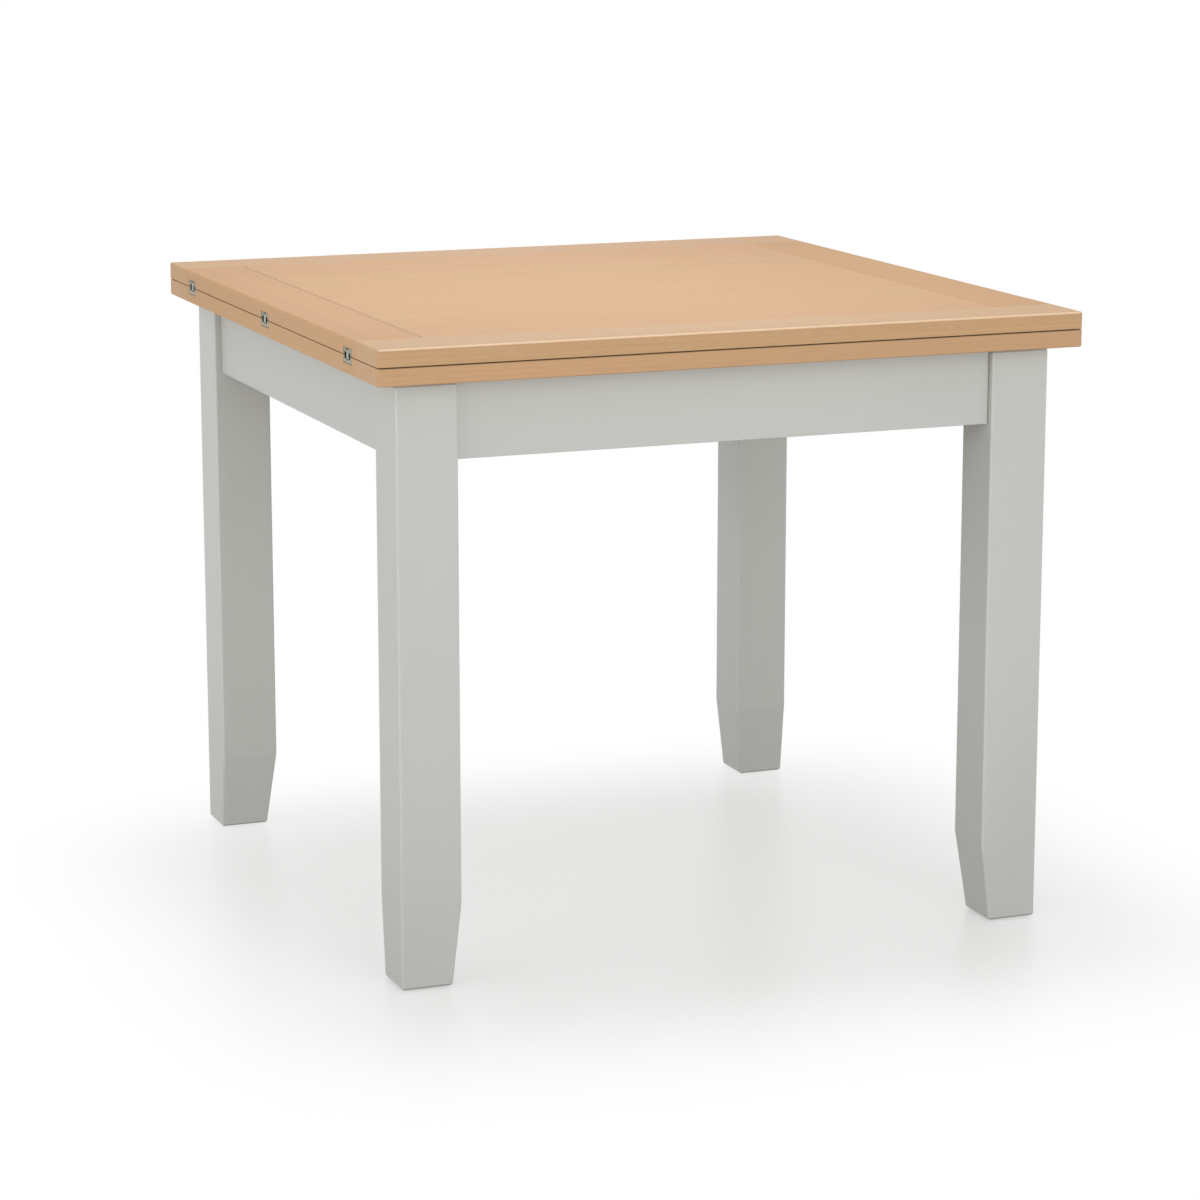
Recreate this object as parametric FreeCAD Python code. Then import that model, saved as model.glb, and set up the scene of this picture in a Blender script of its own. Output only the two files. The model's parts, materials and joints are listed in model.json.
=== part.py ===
"""Square flip-top extending table.

Two equal leaves lie one on the other on a painted four-leg frame. Both slide
together along +X by half their length, guided by tongued runners in grooved
rails. The upper leaf then flips over about the leaves' common edge on three
link hinges and rests on the other half of the frame, so the top is twice as
long. The table is modelled closed. X runs along the slide, Y across, +Z up,
millimetres, with the origin on the floor under the middle of the top.
"""

import FreeCAD, Part
import math
import os

V = FreeCAD.Vector
X_AXIS = V(1, 0, 0)
Y_AXIS = V(0, 1, 0)
Z_AXIS = V(0, 0, 1)

# --- the table as a whole -----------------------------------------------------------------
top_length = 900.0            # one leaf along X
top_width = 900.0             # one leaf along Y
table_height = 770.0          # floor to the face of the upper leaf, closed

# --- leaves -------------------------------------------------------------------------------
leaf_thickness = 21.0
leaf_clearance = 1.0          # between the leaves, closed and opened out
leaf_corner_radius = 3.0
leaf_edge_radius = 2.0        # easing of the edges of the show faces
leaf_inner_edge_radius = 0.4  # easing of the edges of the faces that meet
border_width = 80.0           # rails and stiles round each panel
stile_groove_width = 0.6      # fine V between the panel and each stile
stile_groove_depth = 1.2
rail_groove = 0.35            # depth and half the width of the V along each rail
buffer_radius = 5.0           # felt dots that keep the closed leaves apart
buffer_thickness = 0.8
buffer_inset = 40.0           # from the edges of the leaf

# --- legs ---------------------------------------------------------------------------------
leg_section = 76.0
leg_inset = 30.0              # overhang of the top past the legs
leg_taper = 12.0              # taken off each of the two inner faces
leg_taper_height = 100.0
leg_arris_radius = 3.0
leg_foot_chamfer = 2.0
leg_top_chamfer = 1.5
leg_seat_chamfer = 15.0       # inner corner, planed off to seat the corner block

# --- aprons -------------------------------------------------------------------------------
apron_height = 90.0
apron_thickness = 20.0
apron_setback = 9.5           # behind the outer faces of the legs
apron_edge_radius = 1.0
apron_quirk_width = 0.8       # shadow gap between the apron's face and the leg
apron_quirk_depth = 3.0
dowel_radius = 5.0
dowel_length = 56.0
dowel_edge_distance = 24.0    # from the apron's top and bottom edges
dowel_clearance = 0.05

# --- corner blocks, their bolts and screws ------------------------------------------------
block_thickness = 28.0
block_height = 60.0
block_drop = 12.0             # below the top of the frame
bolt_radius = 4.0
bolt_spacing = 30.0
bolt_grip = 34.0              # length of the bolt inside the leg
bolt_clearance = 0.3
washer_radius = 9.0
washer_thickness = 1.6
nut_across_flats = 13.0
nut_height = 6.5
nut_chamfer = 1.0
bolt_end = 3.0                # stands proud of the nut
block_screw_radius = 2.0
block_screw_head_radius = 4.0
block_screw_length = 26.0
block_screw_seat = 12.0       # wood left under the head
block_screw_head_room = 1.0   # round the head, where it is let into the block
screw_clearance = 0.05
screw_hole_extra = 0.5        # depth of a pilot hole past the point

# --- guide rails and the cross rail under them --------------------------------------------
guide_inset = 160.0           # centre line from the inner face of the long apron
guide_width = 38.0
guide_height = 40.0
guide_housing = 8.0           # let into the end aprons
groove_cover = 12.0           # wood above the groove
groove_height = 12.6
groove_depth = 10.0
cross_rail_width = 22.0
cross_rail_height = 50.0
cross_rail_housing = 8.0      # let into the front and back aprons
cross_rail_lap = 10.0         # the guide rails sit this deep in its notches

# --- slide pads on the frame --------------------------------------------------------------
pad_thickness = 4.5
pad_side = 50.0
guide_pad_width = 14.0
pad_running_clearance = 0.2

# --- runners under the lower leaf ---------------------------------------------------------
runner_width = 34.0
runner_side_clearance = 0.8
tongue_play = 0.3             # above and below the tongue
tongue_end_clearance = 0.8    # to the bottom of the groove
runner_stop_clearance = 1.0   # runner end to the inner face of the end apron
runner_screw_radius = 2.0
runner_screw_head_radius = 4.0
runner_screw_grip = 13.0      # length in the leaf
runner_screw_count = 3
runner_screw_margin = 40.0

# --- hinges -------------------------------------------------------------------------------
hinge_end_distance = 113.0    # centre of an outer hinge from the end of the leaf
hinge_width = 30.0
hinge_plate_thickness = 2.0
hinge_plate_length = 30.0
hinge_plate_corner_radius = 6.0
hinge_back_wall = 2.0
hinge_pocket_room = 0.35      # round the hinge leaf, which is seated against the pocket's floor
pin_offset = 3.0              # of each pin from the flip axis, along X and Z
pin_radius = 1.0
pin_end_recess = 0.5
pin_fit = 0.03                # pin in the hinge leaf
link_fit = 0.06               # link on its pins
link_radius = 2.3
link_width = 8.0
link_side_clearance = 0.3
link_reach_clearance = 0.3
slot_end_slack = 0.1
edge_screw_radius = 1.1
edge_screw_head_radius = 1.85
edge_screw_length = 18.0
edge_screw_spacing = 18.0
face_screw_radius = 1.4
face_screw_head_radius = 2.8
face_screw_length = 15.0
face_screw_spacing = 17.0
face_screw_end_margin = 7.0   # from the free end of the plate

# --- foot glides --------------------------------------------------------------------------
glide_radius = 15.0
glide_height = 2.0
glide_edge_radius = 0.8
glide_nail_radius = 1.5
glide_nail_length = 19.0
glide_nail_point = 3.0

# --- levels and faces worked out from the sizes above -------------------------------------
half_length = top_length / 2
half_width = top_width / 2
upper_leaf_bottom = table_height - leaf_thickness
lower_leaf_top = upper_leaf_bottom - leaf_clearance
lower_leaf_bottom = lower_leaf_top - leaf_thickness
frame_top = lower_leaf_bottom - pad_running_clearance - pad_thickness
leg_bottom = glide_height
apron_bottom = frame_top - apron_height

leg_outer_x = half_length - leg_inset
leg_outer_y = half_width - leg_inset
leg_inner_x = leg_outer_x - leg_section
leg_inner_y = leg_outer_y - leg_section
foot_x = (leg_outer_x + leg_inner_x + leg_taper) / 2
foot_y = (leg_outer_y + leg_inner_y + leg_taper) / 2
apron_outer_x = leg_outer_x - apron_setback
apron_outer_y = leg_outer_y - apron_setback
apron_inner_x = apron_outer_x - apron_thickness
apron_inner_y = apron_outer_y - apron_thickness
dowel_levels = (apron_bottom + dowel_edge_distance, frame_top - dowel_edge_distance)

block_top = frame_top - block_drop
block_bottom = block_top - block_height
block_middle = (block_top + block_bottom) / 2
bolt_levels = (block_middle - bolt_spacing / 2, block_middle + bolt_spacing / 2)
bolt_inward = block_thickness + washer_thickness + nut_height + bolt_end
bolt_length = bolt_grip + bolt_inward

# The bolts run along the diagonal of the leg, square to its planed corner
diagonal = V(1, 1, 0).normalize()
seat_middle_x = leg_inner_x + leg_seat_chamfer / 2
seat_middle_y = leg_inner_y + leg_seat_chamfer / 2
seat_sum = seat_middle_x + seat_middle_y

guide_bottom = frame_top - guide_height
groove_top = frame_top - groove_cover
groove_bottom = groove_top - groove_height
guide_outer_y = apron_inner_y - guide_inset + guide_width / 2
guide_inner_y = guide_outer_y - guide_width
cross_rail_top = guide_bottom + cross_rail_lap
cross_rail_bottom = cross_rail_top - cross_rail_height

hinge_axis_x = -half_length - leaf_clearance / 2
hinge_axis_z = lower_leaf_top + leaf_clearance / 2
slide_travel = -hinge_axis_x

runner_start = -apron_inner_x + runner_stop_clearance
runner_length = 2 * apron_inner_x - slide_travel - 2 * runner_stop_clearance
runner_outer_y = guide_inner_y - runner_side_clearance
runner_inner_y = runner_outer_y - runner_width
tongue_top = groove_top - tongue_play
tongue_bottom = groove_bottom + tongue_play
tongue_outer_y = guide_inner_y + groove_depth - tongue_end_clearance
runner_screw_length = lower_leaf_bottom - tongue_bottom + runner_screw_grip

# Distances from the flip axis, in a hinge
hinge_near = leaf_clearance / 2
slot_far_centre = 2 * pin_offset * math.sqrt(2) + slot_end_slack
slot_near_centre = 2 * pin_offset - slot_end_slack
lower_slot_reach = pin_offset + link_radius + link_reach_clearance
upper_slot_reach = slot_far_centre - pin_offset + link_radius + link_reach_clearance
hinge_block_height = upper_slot_reach
hinge_block_depth = upper_slot_reach + hinge_back_wall
link_slot_width = link_width + 2 * link_side_clearance
edge_screw_level = (pin_offset + pin_radius + hinge_block_height) / 2
outer_hinge_y = half_width - hinge_end_distance
hinge_rows = (-outer_hinge_y, 0.0, outer_hinge_y)


# --- shape helpers ------------------------------------------------------------------------
def block(x0, x1, y0, y1, z0, z1):
    """A box between two corners, given in any order."""
    low = V(min(x0, x1), min(y0, y1), min(z0, z1))
    return Part.makeBox(abs(x1 - x0), abs(y1 - y0), abs(z1 - z0), low)


def rod(radius, length, start, direction):
    return Part.makeCylinder(radius, length, start, direction)


def prism(points, direction):
    """A closed outline swept straight along a direction."""
    outline = Part.makePolygon(list(points) + [points[0]])
    return Part.Face(outline).extrude(direction)


def turned(profile, start, direction):
    """A profile of (radius, height) points turned round the axis at start."""
    points = [V(radius, 0, height) for radius, height in profile]
    outline = Part.makePolygon(points + [points[0]])
    solid = Part.Face(outline).revolve(V(0, 0, 0), Z_AXIS, 360)
    solid.Placement = FreeCAD.Placement(start, FreeCAD.Rotation(Z_AXIS, direction))
    return solid


def stadium(radius, near, far, thickness):
    """A round-ended bar along +Z from near to far, centred on the XZ plane."""
    side = thickness / 2
    right = Part.LineSegment(V(radius, -side, near), V(radius, -side, far))
    top = Part.Arc(V(radius, -side, far), V(0, -side, far + radius), V(-radius, -side, far))
    left = Part.LineSegment(V(-radius, -side, far), V(-radius, -side, near))
    bottom = Part.Arc(V(-radius, -side, near), V(0, -side, near - radius), V(radius, -side, near))
    wire = Part.Wire([curve.toShape() for curve in (right, top, left, bottom)])
    return Part.Face(wire).extrude(V(0, thickness, 0))


def wood_screw(radius, head_radius, length, start, direction):
    """A countersunk screw with its flat head's face at start."""
    cone = head_radius - radius
    point = radius
    profile = [(0, 0), (head_radius, 0), (radius, cone), (radius, length - point), (0, length)]
    return turned(profile, start, direction)


def screw_hole(radius, head_radius, length, start, direction):
    """The countersunk hole that such a screw sits in."""
    hole_radius = radius + screw_clearance
    rim = head_radius + screw_clearance
    depth = length + screw_hole_extra
    cone = rim - hole_radius
    profile = [(0, 0), (rim, 0), (hole_radius, cone), (hole_radius, depth), (0, depth)]
    return turned(profile, start, direction)


def cut_all(shape, tools):
    tools = list(tools)
    if not tools:
        return shape
    return shape.cut(Part.makeCompound(tools)).removeSplitter()


def edges_along(shape, direction):
    """Straight edges of a shape that run along a direction."""
    found = []
    for edge in shape.Edges:
        if isinstance(edge.Curve, Part.Line):
            if abs(abs(edge.Curve.Direction.dot(direction)) - 1) < 1e-6:
                found.append(edge)
    return found


def edges_at_level(shape, level):
    """Edges that lie wholly at one height."""
    return [edge for edge in shape.Edges
            if abs(edge.BoundBox.ZMin - level) < 1e-6 and abs(edge.BoundBox.ZMax - level) < 1e-6]


def in_corner(shape, sign_x, sign_y):
    """A piece made at the +X +Y corner, mirrored into another corner."""
    if sign_x < 0:
        shape = shape.mirror(V(0, 0, 0), X_AXIS)
    if sign_y < 0:
        shape = shape.mirror(V(0, 0, 0), Y_AXIS)
    return shape


CORNERS = {
    "front_left": (-1, -1),
    "front_right": (1, -1),
    "back_left": (-1, 1),
    "back_right": (1, 1),
}


def in_all_corners(shapes):
    """Pieces of the +X +Y corner repeated in all four, as one list."""
    return [in_corner(shape, *signs) for signs in CORNERS.values() for shape in shapes]


# --- legs, dowels, bolts and corner blocks ------------------------------------------------
def dowel_seats(clearance):
    """The four dowels at the +X +Y corner, two for each apron."""
    radius = dowel_radius + clearance
    length = dowel_length + 2 * clearance
    middle_x = (apron_outer_x + apron_inner_x) / 2
    middle_y = (apron_outer_y + apron_inner_y) / 2
    dowels = []
    for level in dowel_levels:
        start_x = V(leg_inner_x - length / 2, middle_y, level)
        start_y = V(middle_x, leg_inner_y - length / 2, level)
        dowels.append(rod(radius, length, start_x, X_AXIS))
        dowels.append(rod(radius, length, start_y, Y_AXIS))
    return dowels


def seat_point(level, distance):
    """A point on a bolt's axis, a distance inwards from the leg's planed corner."""
    return V(seat_middle_x, seat_middle_y, level) - diagonal * distance


def bolt_rods(clearance):
    """The two bolts of the +X +Y corner, or the holes that clear them."""
    length = bolt_length + 2 * clearance
    return [rod(bolt_radius + clearance, length, seat_point(level, bolt_inward + clearance),
                diagonal) for level in bolt_levels]


def leg():
    across_x = [
        V(leg_outer_x, 0, leg_bottom),
        V(leg_outer_x, 0, frame_top),
        V(leg_inner_x, 0, frame_top),
        V(leg_inner_x, 0, leg_bottom + leg_taper_height),
        V(leg_inner_x + leg_taper, 0, leg_bottom),
    ]
    across_y = [
        V(0, leg_outer_y, leg_bottom),
        V(0, leg_outer_y, frame_top),
        V(0, leg_inner_y, frame_top),
        V(0, leg_inner_y, leg_bottom + leg_taper_height),
        V(0, leg_inner_y + leg_taper, leg_bottom),
    ]
    shape = prism(across_x, V(0, half_width, 0)).common(prism(across_y, V(half_length, 0, 0)))
    long_edges = [edge for edge in shape.Edges
                  if edge.BoundBox.ZLength > leg_taper_height / 2]
    shape = shape.makeFillet(leg_arris_radius, long_edges)
    shape = shape.makeChamfer(leg_foot_chamfer, edges_at_level(shape, leg_bottom))
    shape = shape.makeChamfer(leg_top_chamfer, edges_at_level(shape, frame_top))
    seat = prism([
        V(leg_inner_x - leg_seat_chamfer, leg_inner_y - leg_seat_chamfer, apron_bottom),
        V(leg_inner_x + 2 * leg_seat_chamfer, leg_inner_y - leg_seat_chamfer, apron_bottom),
        V(leg_inner_x - leg_seat_chamfer, leg_inner_y + 2 * leg_seat_chamfer, apron_bottom),
    ], V(0, 0, apron_height))
    nail_hole = rod(glide_nail_radius + screw_clearance, glide_nail_length + screw_hole_extra,
                    V(foot_x, foot_y, leg_bottom), Z_AXIS)
    return cut_all(shape, [seat, nail_hole] + bolt_rods(0) + dowel_seats(dowel_clearance))


def corner_block():
    """A block across the corner, from apron to apron, against the leg's planed corner."""
    inner_sum = seat_sum - block_thickness * math.sqrt(2)
    outline = [
        V(apron_inner_x, seat_sum - apron_inner_x, block_bottom),
        V(seat_sum - apron_inner_y, apron_inner_y, block_bottom),
        V(inner_sum - apron_inner_y, apron_inner_y, block_bottom),
        V(apron_inner_x, inner_sum - apron_inner_x, block_bottom),
    ]
    shape = prism(outline, V(0, 0, block_height))
    tools = bolt_rods(bolt_clearance) + block_screw_holes()
    for start, direction in block_screw_places():
        way_in = rod(block_screw_head_radius + block_screw_head_room, 2 * block_thickness,
                     start, direction * -1)
        tools.append(way_in)
    return cut_all(shape, tools)


def block_screw_places():
    """Where the two screws of a corner block start, and the way that they run."""
    contact_y = seat_sum - apron_inner_x - block_thickness / math.sqrt(2)
    contact_x = seat_sum - apron_inner_y - block_thickness / math.sqrt(2)
    towards_x = (V(apron_inner_x - block_screw_seat, contact_y, block_middle), X_AXIS)
    towards_y = (V(contact_x, apron_inner_y - block_screw_seat, block_middle), Y_AXIS)
    return [towards_x, towards_y]


def block_screws():
    return [wood_screw(block_screw_radius, block_screw_head_radius, block_screw_length,
                       start, direction) for start, direction in block_screw_places()]


def block_screw_holes():
    return [screw_hole(block_screw_radius, block_screw_head_radius, block_screw_length,
                       start, direction) for start, direction in block_screw_places()]


def bolt_washers():
    washers = []
    for level in bolt_levels:
        start = seat_point(level, block_thickness + washer_thickness)
        disc = rod(washer_radius, washer_thickness, start, diagonal)
        washers.append(disc.cut(rod(bolt_radius + screw_clearance, washer_thickness,
                                    start, diagonal)))
    return washers


def nut_rounding(corner_radius):
    """The turned blank that takes the corners off a nut at both of its faces."""
    low = corner_radius - nut_chamfer
    level = nut_chamfer * math.tan(math.radians(30))
    profile = [
        (0, 0),
        (low, 0),
        (corner_radius, level),
        (corner_radius, nut_height - level),
        (low, nut_height),
        (0, nut_height),
    ]
    return turned(profile, V(0, 0, 0), Z_AXIS)


def bolt_nuts():
    nuts = []
    corner_radius = nut_across_flats / math.sqrt(3)
    for level in bolt_levels:
        start = seat_point(level, block_thickness + washer_thickness + nut_height)
        points = [V(corner_radius * math.cos(math.radians(60 * step)),
                    corner_radius * math.sin(math.radians(60 * step)), 0) for step in range(6)]
        nut = prism(points, V(0, 0, nut_height)).common(nut_rounding(corner_radius))
        nut = nut.cut(rod(bolt_radius + screw_clearance, nut_height, V(0, 0, 0), Z_AXIS))
        nut.Placement = FreeCAD.Placement(start, FreeCAD.Rotation(Z_AXIS, diagonal))
        nuts.append(nut)
    return nuts


# --- aprons, guide rails and the cross rail -----------------------------------------------
def apron_board(x0, x1, y0, y1):
    board = block(x0, x1, y0, y1, apron_bottom, frame_top)
    along = X_AXIS if abs(x1 - x0) > abs(y1 - y0) else Y_AXIS
    bottom_edges = [edge for edge in edges_along(board, along)
                    if abs(edge.BoundBox.ZMax - apron_bottom) < 1e-6]
    return board.makeFillet(apron_edge_radius, bottom_edges)


def long_apron(side):
    """Front (side -1) or back (side +1) apron, with its housing for the cross rail."""
    board = apron_board(-leg_inner_x, leg_inner_x, side * apron_inner_y, side * apron_outer_y)
    quirks = [block(end * (leg_inner_x - apron_quirk_width), end * leg_inner_x,
                    side * (apron_outer_y - apron_quirk_depth), side * apron_outer_y,
                    apron_bottom, frame_top) for end in (-1, 1)]
    tools = in_all_corners(dowel_seats(dowel_clearance) + block_screw_holes()) + quirks
    return cut_all(board, tools + [cross_rail_blank()])


def end_apron(side):
    """Left (side -1) or right (side +1) apron, with its housings for the guide rails."""
    board = apron_board(side * apron_inner_x, side * apron_outer_x, -leg_inner_y, leg_inner_y)
    quirks = [block(side * (apron_outer_x - apron_quirk_depth), side * apron_outer_x,
                    end * (leg_inner_y - apron_quirk_width), end * leg_inner_y,
                    apron_bottom, frame_top) for end in (-1, 1)]
    tools = in_all_corners(dowel_seats(dowel_clearance) + block_screw_holes()) + quirks
    return cut_all(board, tools + [guide_rail_blank(-1), guide_rail_blank(1)])


def guide_rail_blank(side):
    end = apron_inner_x + guide_housing
    return block(-end, end, side * guide_inner_y, side * guide_outer_y, guide_bottom, frame_top)


def guide_rail(side):
    """A rail with the groove on its inner side, stopped short of the end aprons."""
    groove = block(-apron_inner_x, apron_inner_x, side * guide_inner_y,
                   side * (guide_inner_y + groove_depth), groove_bottom, groove_top)
    return guide_rail_blank(side).cut(groove)


def cross_rail_blank():
    end = apron_inner_y + cross_rail_housing
    return block(-cross_rail_width / 2, cross_rail_width / 2, -end, end,
                 cross_rail_bottom, cross_rail_top)


def cross_rail():
    return cut_all(cross_rail_blank(), [guide_rail_blank(-1), guide_rail_blank(1)])


def slide_pads():
    """Felt on the leg tops and along the guide rails, where the leaves slide and rest."""
    middle_x = (leg_outer_x + leg_inner_x) / 2
    middle_y = (leg_outer_y + leg_inner_y) / 2
    half = pad_side / 2
    corner_pad = block(middle_x - half, middle_x + half, middle_y - half, middle_y + half,
                       frame_top, frame_top + pad_thickness)
    pads = in_all_corners([corner_pad])
    for side in (-1, 1):
        strip_outer = guide_outer_y - guide_pad_width / 2
        pads.append(block(-apron_inner_x, apron_inner_x, side * (strip_outer - guide_pad_width),
                          side * strip_outer, frame_top, frame_top + pad_thickness))
    return pads


# --- foot glides --------------------------------------------------------------------------
def foot_glide():
    """A round glide with a small bevel at its foot and a nail into the leg."""
    edge = glide_edge_radius
    nail_top = glide_height + glide_nail_length
    profile = [
        (0, 0),
        (glide_radius - edge, 0),
        (glide_radius, edge),
        (glide_radius, glide_height),
        (glide_nail_radius, glide_height),
        (glide_nail_radius, nail_top - glide_nail_point),
        (0, nail_top),
    ]
    return turned(profile, V(foot_x, foot_y, 0), Z_AXIS)


# --- runners under the lower leaf ---------------------------------------------------------
def runner_screw_places(side):
    """Points on the underside of a runner where its screws start."""
    middle_y = side * (runner_outer_y + runner_inner_y) / 2
    span = runner_length - 2 * runner_screw_margin
    step = span / (runner_screw_count - 1)
    first = runner_start + runner_screw_margin
    return [V(first + step * index, middle_y, tongue_bottom)
            for index in range(runner_screw_count)]


def runner_screw_holes(side):
    return [screw_hole(runner_screw_radius, runner_screw_head_radius, runner_screw_length,
                       place, Z_AXIS) for place in runner_screw_places(side)]


def runner_screws(side):
    return [wood_screw(runner_screw_radius, runner_screw_head_radius, runner_screw_length,
                       place, Z_AXIS) for place in runner_screw_places(side)]


def runner(side):
    """A batten with a tongue on its outer side, which rides in the guide rail's groove."""
    section = [
        V(runner_start, side * runner_inner_y, lower_leaf_bottom),
        V(runner_start, side * runner_outer_y, lower_leaf_bottom),
        V(runner_start, side * runner_outer_y, tongue_top),
        V(runner_start, side * tongue_outer_y, tongue_top),
        V(runner_start, side * tongue_outer_y, tongue_bottom),
        V(runner_start, side * runner_inner_y, tongue_bottom),
    ]
    return cut_all(prism(section, V(runner_length, 0, 0)), runner_screw_holes(side))


# --- hinges -------------------------------------------------------------------------------
# Each half is described from the flip axis: x away from the joint, z into its leaf.
# side is -1 for the lower leaf and +1 for the upper leaf.
def hinge_box(row, side, x0, x1, half_y, z0, z1):
    return block(hinge_axis_x + x0, hinge_axis_x + x1, row - half_y, row + half_y,
                 hinge_axis_z + side * z0, hinge_axis_z + side * z1)


def hinge_envelope(row, side, room):
    """The corner block of a hinge leaf with its flush face plate, or the pocket for them."""
    half_y = hinge_width / 2 + room
    free_end = hinge_near + hinge_plate_length + room
    corner = hinge_box(row, side, hinge_near, hinge_block_depth, half_y,
                       hinge_near, hinge_block_height + room)
    plate = hinge_box(row, side, hinge_near, free_end, half_y,
                      hinge_near, hinge_near + hinge_plate_thickness)
    corners = [edge for edge in edges_along(plate, Z_AXIS)
               if abs(edge.BoundBox.XMax - hinge_axis_x - free_end) < 1e-6]
    plate = plate.makeFillet(hinge_plate_corner_radius + room, corners)
    return corner.fuse(plate).removeSplitter()


def hinge_link_slot(row, side):
    reach = lower_slot_reach if side < 0 else upper_slot_reach
    return hinge_box(row, side, 0, reach, link_slot_width / 2, 0, reach)


def edge_screw_places(row, side):
    level = hinge_axis_z + side * edge_screw_level
    return [(V(hinge_axis_x + hinge_near, row + sign * edge_screw_spacing / 2, level), X_AXIS)
            for sign in (-1, 1)]


def face_screw_places(row, side):
    distance = hinge_near + hinge_plate_length - face_screw_end_margin
    level = hinge_axis_z + side * hinge_near
    return [(V(hinge_axis_x + distance, row + sign * face_screw_spacing / 2, level),
             Z_AXIS * side) for sign in (-1, 1)]


def hinge_screws(row, side, make):
    """The two edge screws and the two face screws of a hinge leaf, or their holes."""
    edge = [make(edge_screw_radius, edge_screw_head_radius, edge_screw_length, start, direction)
            for start, direction in edge_screw_places(row, side)]
    face = [make(face_screw_radius, face_screw_head_radius, face_screw_length, start, direction)
            for start, direction in face_screw_places(row, side)]
    return edge, face


def pin(row, side, radius, half_span):
    start = V(hinge_axis_x + pin_offset, row - half_span, hinge_axis_z + side * pin_offset)
    return rod(radius, 2 * half_span, start, Y_AXIS)


def hinge_leaf(row, side):
    edge_holes, face_holes = hinge_screws(row, side, screw_hole)
    bore = pin(row, side, pin_radius + pin_fit, hinge_width / 2)
    tools = [hinge_link_slot(row, side), bore] + edge_holes + face_holes
    return cut_all(hinge_envelope(row, side, 0), tools)


def hinge_pin(row, side):
    return pin(row, side, pin_radius, hinge_width / 2 - pin_end_recess)


def hinge_link(row):
    """A link that turns on the lower pin; the upper pin slides in its slot."""
    bar = stadium(link_radius, 0, slot_far_centre, link_width)
    eye = rod(pin_radius + link_fit, link_width, V(0, -link_width / 2, 0), Y_AXIS)
    slot = stadium(pin_radius + link_fit, slot_near_centre, slot_far_centre, link_width)
    link = bar.cut(eye).cut(slot)
    link.translate(V(hinge_axis_x + pin_offset, row, hinge_axis_z - pin_offset))
    return link


# --- leaves -------------------------------------------------------------------------------
def leaf_blank(bottom, side):
    """The whole leaf as one eased slab, before it is divided into its pieces."""
    top = bottom + leaf_thickness
    show_level, inner_level = (bottom, top) if side < 0 else (top, bottom)
    slab = block(-half_length, half_length, -half_width, half_width, bottom, top)
    slab = slab.makeFillet(leaf_corner_radius, edges_along(slab, Z_AXIS))
    slab = slab.makeFillet(leaf_edge_radius, edges_at_level(slab, show_level))
    return slab.makeFillet(leaf_inner_edge_radius, edges_at_level(slab, inner_level))


def joint_grooves(bottom):
    """The fine V grooves along the joints of a leaf, on both of its faces."""
    inner_x = half_length - border_width
    inner_y = half_width - border_width
    half_mouth = stile_groove_width / 2
    grooves = []
    for level, inward in ((bottom, 1), (bottom + leaf_thickness, -1)):
        for sign in (-1, 1):
            x = sign * inner_x
            grooves.append(prism([
                V(x - half_mouth, -inner_y, level),
                V(x + half_mouth, -inner_y, level),
                V(x, -inner_y, level + inward * stile_groove_depth),
            ], V(0, 2 * inner_y, 0)))
            y = sign * inner_y
            grooves.append(prism([
                V(-half_length, y - rail_groove, level),
                V(-half_length, y + rail_groove, level),
                V(-half_length, y, level + inward * rail_groove),
            ], V(2 * half_length, 0, 0)))
    return grooves


def leaf_buffers():
    """Felt dots on the lower leaf, on its free corners and halfway along its rails."""
    x = half_length - buffer_inset
    y = half_width - buffer_inset
    return [rod(buffer_radius, buffer_thickness, V(place_x, place_y, lower_leaf_top), Z_AXIS)
            for place_x in (0, x) for place_y in (-y, y)]


def leaf_pieces(name, bottom, side):
    """Panel, two full-length rails along X, and two stiles between them."""
    blank = leaf_blank(bottom, side)
    top = bottom + leaf_thickness
    inner_x = half_length - border_width
    inner_y = half_width - border_width
    regions = {
        "panel": (-inner_x, inner_x, -inner_y, inner_y),
        "front_rail": (-half_length, half_length, -half_width, -inner_y),
        "back_rail": (-half_length, half_length, inner_y, half_width),
        "hinge_stile": (-half_length, -inner_x, -inner_y, inner_y),
        "end_stile": (inner_x, half_length, -inner_y, inner_y),
    }
    tools = joint_grooves(bottom)
    for row in hinge_rows:
        edge_holes, face_holes = hinge_screws(row, side, screw_hole)
        tools += [hinge_envelope(row, side, hinge_pocket_room)] + edge_holes + face_holes
    if side < 0:
        tools += runner_screw_holes(-1) + runner_screw_holes(1)
    pieces = {}
    for region, (x0, x1, y0, y1) in regions.items():
        piece = blank.common(block(x0, x1, y0, y1, bottom, top))
        pieces[f"{name}_{region}"] = cut_all(piece, tools)
    return pieces


# --- the whole table ----------------------------------------------------------------------
def group(shapes):
    return Part.makeCompound(list(shapes))


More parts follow.
